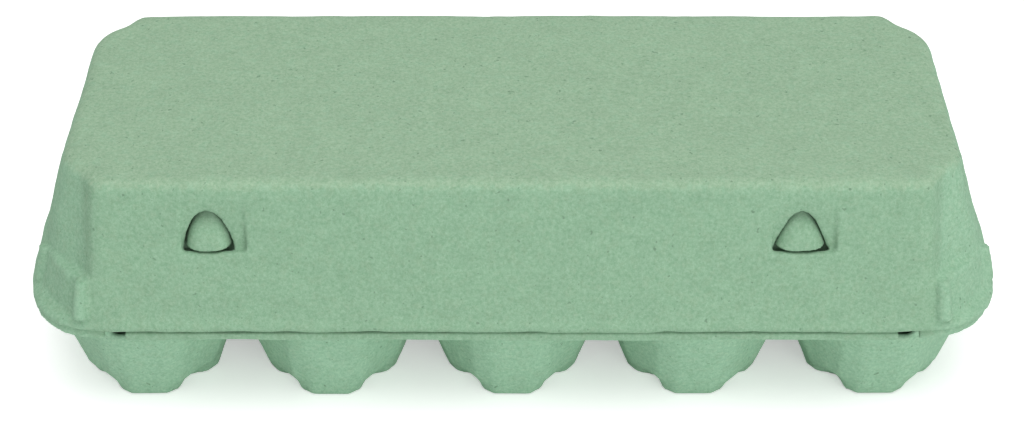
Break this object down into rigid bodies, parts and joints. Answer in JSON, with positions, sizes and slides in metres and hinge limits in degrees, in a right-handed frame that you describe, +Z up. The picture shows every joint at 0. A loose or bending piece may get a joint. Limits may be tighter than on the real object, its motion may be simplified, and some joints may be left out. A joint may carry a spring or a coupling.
{
  "type": "moulded pulp egg carton",
  "caption": "Closed egg carton of pale green moulded pulp, with cup-shaped cells in two rows, a hinged lid and a lock flap with buttons.",
  "frame": {"origin": "on the table under the middle of the carton, level with the feet", "axes": "+X along the carton, -Y towards the opening side with the latches, +Y towards the hinge, +Z up"},
  "size_m": [0.252, 0.1066, 0.0682],
  "materials": {
    "pulp": "matt moulded paper pulp with a fine fibre texture"
  },
  "bodies": {
    "tray": {"base_tray": "pulp", "lock_flap": "pulp"},
    "lid": {"lid": "pulp"}
  },
  "joints": [
    {"name": "lid_hinge", "type": "hinge", "parent": "tray", "child": "lid", "pos_m": [0, 0.0534, 0.02895], "axis": [-1, 0, 0], "range_deg": [0, 150], "deforming": ["lock_flap"]}
  ]
}
